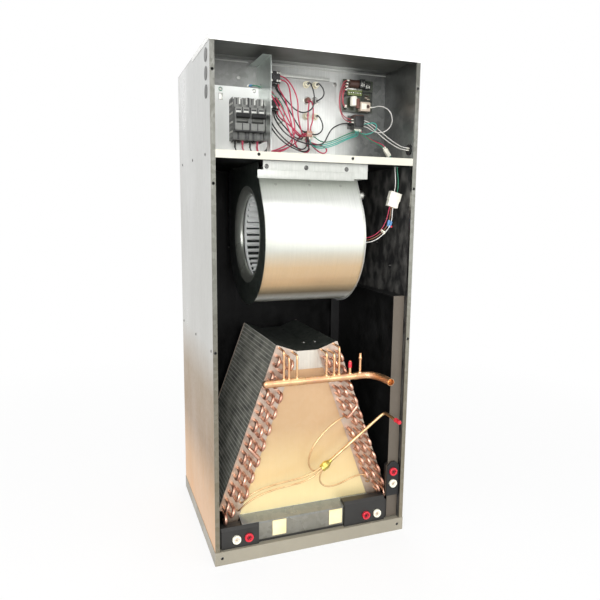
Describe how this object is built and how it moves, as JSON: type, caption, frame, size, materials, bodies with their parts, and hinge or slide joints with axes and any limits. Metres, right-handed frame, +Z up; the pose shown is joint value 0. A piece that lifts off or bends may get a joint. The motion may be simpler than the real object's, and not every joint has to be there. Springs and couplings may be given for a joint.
{
  "type": "air handler",
  "caption": "Upright air handler cabinet with its front panels off: breakers, heat kit and wiring above a housed blower and an A shaped coil over a drain pan.",
  "frame": {"origin": "centre of the cabinet's underside, on the floor", "axes": "+Z up, +X to the right as seen from the open front, -Y out of the open front"},
  "size_m": [0.622, 0.6121, 1.473],
  "materials": {
    "cabinet_paint": "satin light grey paint",
    "frame_paint": "satin khaki grey paint",
    "cap_paint": "satin white paint",
    "galvanised": "galvanised sheet with soft streaks",
    "plate_white": "smooth white paint",
    "foil_black": "black faced insulation",
    "dark_steel": "dark galvanised sheet",
    "copper": "drawn copper with dull patches",
    "brass": "turned brass",
    "fin_aluminium": "thin pressed fins",
    "coil_steel": "galvanised coil sheet",
    "breaker_plastic": "moulded dark grey",
    "lever_plastic": "moulded black",
    "lug_metal": "bright machined",
    "ceramic": "unglazed cream ceramic",
    "element_steel": "heat tinted sheath",
    "limit_plastic": "moulded brown",
    "splice_plastic": "moulded orange",
    "sequencer_plastic": "moulded black",
    "board_green": "lacquered board",
    "part_plastic": "moulded dark grey",
    "transformer_steel": "varnished laminations",
    "motor_paint": "black enamel",
    "plug_white": "moulded white",
    "wire_red": "insulation",
    "wire_black": "insulation",
    "wire_mixed": "insulation",
    "cap_red": "soft red caps",
    "pan_plastic": "moulded black",
    "drain_white": "moulded white",
    "foam": "cream open foam",
    "grommet_rubber": "soft black"
  },
  "bodies": {
    "cabinet": {"base_frame": "frame_paint", "black_wires": "wire_black", "blower_bracket": "galvanised", "blower_cutoff": "galvanised", "blower_deck": "galvanised", "blower_wrap": "galvanised", "board_components": "part_plastic", "breaker_bodies": "breaker_plastic", "breaker_divider": "galvanised", "breaker_plate": "plate_white", "cabinet_liners": "foil_black", "capillary_tubes": "copper", "coil_fins": "fin_aluminium", "coil_top_plate": "dark_steel", "control_board": "board_green", "control_wires": "wire_mixed", "delta_plates": "coil_steel", "distributor": "brass", "drain_pan": "pan_plastic", "foam_pads": "foam", "heat_sequencers": "sequencer_plastic", "heater_plate": "galvanised", "heater_rack": "galvanised", "heating_elements": "element_steel", "hole_plugs": "cabinet_paint", "left_blower_side": "dark_steel", "left_side_panel": "cabinet_paint", "limit_switches": "limit_plastic", "line_caps": "cap_red", "liquid_line": "copper", "motor_body": "motor_paint", "motor_leads": "wire_mixed", "motor_mount": "galvanised", "motor_plugs": "plug_white", "pan_front_rail": "pan_plastic", "plenum_wall": "galvanised", "rear_panel": "cabinet_paint", "red_drain_plugs": "cap_red", "red_wires": "wire_red", "return_bends": "copper", "right_blower_side": "galvanised", "right_side_panel": "cabinet_paint", "run_capacitor": "lug_metal", "side_drain_pan": "pan_plastic", "suction_header": "copper", "supply_frame": "galvanised", "terminal_bushings": "ceramic", "terminal_lugs": "lug_metal", "top_cap": "cap_paint", "transformer": "transformer_steel", "tube_sheets": "coil_steel", "white_drain_plugs": "drain_white", "wire_grommet": "grommet_rubber", "wire_splice": "splice_plastic"},
    "blower_wheel": {"wheel_hub": "galvanised", "wheel_rings": "galvanised", "wheel_blades": "galvanised", "motor_shaft": "dark_steel"},
    "breaker_1_lever": {"breaker_1_lever": "lever_plastic"},
    "breaker_2_lever": {"breaker_2_lever": "lever_plastic"}
  },
  "joints": [
    {"name": "blower_spin", "type": "hinge", "parent": "cabinet", "child": "blower_wheel", "pos_m": [0, -0.048, 0.956], "axis": [1, 0, 0], "continuous": true},
    {"name": "breaker_1_switch", "type": "hinge", "parent": "cabinet", "child": "breaker_1_lever", "pos_m": [-0.19355, -0.1375, 1.2885], "axis": [1, 0, 0], "range_deg": [0, 36]},
    {"name": "breaker_2_switch", "type": "hinge", "parent": "cabinet", "child": "breaker_2_lever", "pos_m": [-0.14845, -0.1375, 1.2885], "axis": [1, 0, 0], "range_deg": [0, 36]}
  ]
}
